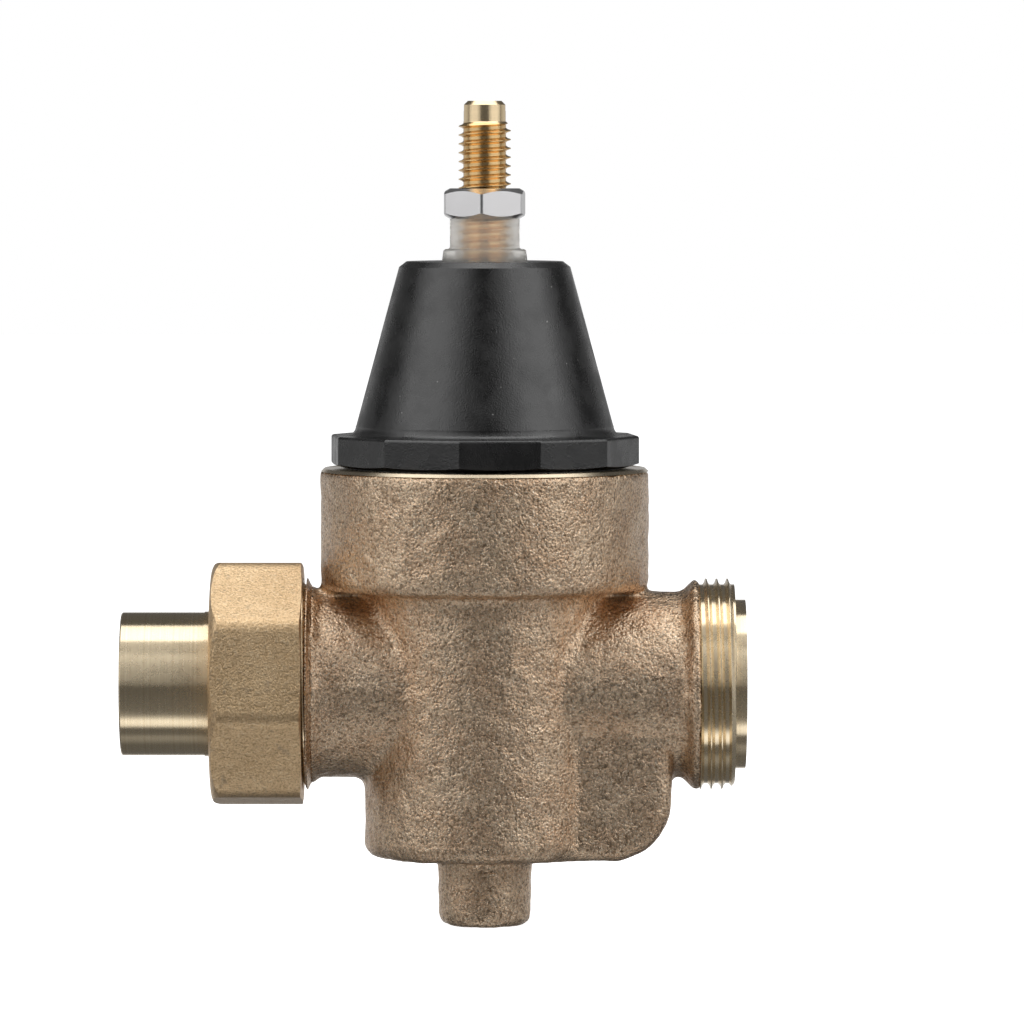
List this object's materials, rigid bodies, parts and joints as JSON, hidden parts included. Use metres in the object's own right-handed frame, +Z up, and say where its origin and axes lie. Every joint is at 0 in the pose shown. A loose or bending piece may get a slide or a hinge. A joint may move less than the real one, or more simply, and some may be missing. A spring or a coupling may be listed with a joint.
{
  "type": "pressure reducing valve",
  "caption": "Direct-acting water pressure reducing valve: cast body with a union inlet and threaded outlet, conical spring housing and adjusting screw with lock nut.",
  "frame": {"origin": "centre of the outlet's mouth, on the pipe line's axis", "axes": "+X along the pipe line, the way the water leaves the outlet; +Z up along the spring housing towards the adjusting screw; +Y away from the front"},
  "size_m": [0.1123, 0.059, 0.1484],
  "materials": {
    "cast_bronze": "rough sand-cast bronze",
    "forged_brass": "fine shot-blasted brass",
    "turned_brass": "bright turned brass",
    "black_polymer": "moulded, faintly mottled",
    "moulded_polymer": "moulded, satin",
    "nylon": "translucent, natural",
    "zinc_plated_steel": "bright zinc plate",
    "spring_steel": "oil-tempered wire",
    "stainless_steel": "turned or pressed",
    "rubber": "moulded",
    "fibre_gasket": "fibre sheet"
  },
  "bodies": {
    "valve_body": {"body_casting": "cast_bronze", "bonnet": "black_polymer", "threaded_insert": "turned_brass", "slip_ring": "nylon", "diaphragm": "rubber", "seat_module": "moulded_polymer", "module_o_ring": "rubber", "seat_o_ring": "rubber", "stem_o_ring": "rubber", "strainer_screen": "stainless_steel"},
    "diaphragm_stack": {"diaphragm_plate": "zinc_plated_steel", "diaphragm_washer": "stainless_steel", "valve_stem": "stainless_steel", "stem_nut": "stainless_steel", "valve_disc": "rubber", "disc_holder": "turned_brass", "disc_screw": "stainless_steel", "range_spring": "spring_steel"},
    "spring_seat": {"spring_button": "zinc_plated_steel"},
    "screw": {"adjusting_screw": "turned_brass"},
    "bushing": {"seal_bushing": "nylon"},
    "nut": {"lock_nut": "zinc_plated_steel"},
    "tailpiece": {"union_tailpiece": "turned_brass", "union_gasket": "fibre_gasket"},
    "coupling_nut": {"union_nut": "forged_brass"}
  },
  "joints": [
    {"name": "adjusting_screw_advance", "type": "slide", "parent": "valve_body", "child": "spring_seat", "axis": [0, 0, -1], "range_m": [0, 0.0096], "deforming": ["range_spring"]},
    {"name": "adjusting_screw_turn", "type": "hinge", "parent": "spring_seat", "child": "screw", "pos_m": [-0.0469, 0, 0.09], "axis": [0, 0, -1], "range_deg": [0, 2160]},
    {"name": "seal_bushing_lift", "type": "slide", "parent": "valve_body", "child": "bushing", "axis": [0, 0, 1], "range_m": [0, 0.0024]},
    {"name": "lock_nut_turn", "type": "hinge", "parent": "bushing", "child": "nut", "pos_m": [-0.0469, 0, 0.086], "axis": [0, 0, 1], "range_deg": [0, 540]},
    {"name": "tailpiece_withdraw", "type": "slide", "parent": "valve_body", "child": "tailpiece", "axis": [-1, 0, 0], "range_m": [0, 0.0058]},
    {"name": "union_nut_turn", "type": "hinge", "parent": "tailpiece", "child": "coupling_nut", "pos_m": [-0.0879, 0, 0], "axis": [-1, 0, 0], "range_deg": [0, 1080]},
    {"name": "valve_travel", "type": "slide", "parent": "valve_body", "child": "diaphragm_stack", "axis": [0, 0, 1], "range_m": [0, 0.0029], "stiffness_N_per_m": 12000, "springref_m": -0.001, "deforming": ["range_spring", "diaphragm"]}
  ],
  "couplings": [
    {"joint": "adjusting_screw_advance", "follows": "adjusting_screw_turn", "m_per_rad": 0.00025266},
    {"joint": "seal_bushing_lift", "follows": "lock_nut_turn", "m_per_rad": 0.00025266},
    {"joint": "tailpiece_withdraw", "follows": "union_nut_turn", "m_per_rad": 0.00030558}
  ]
}
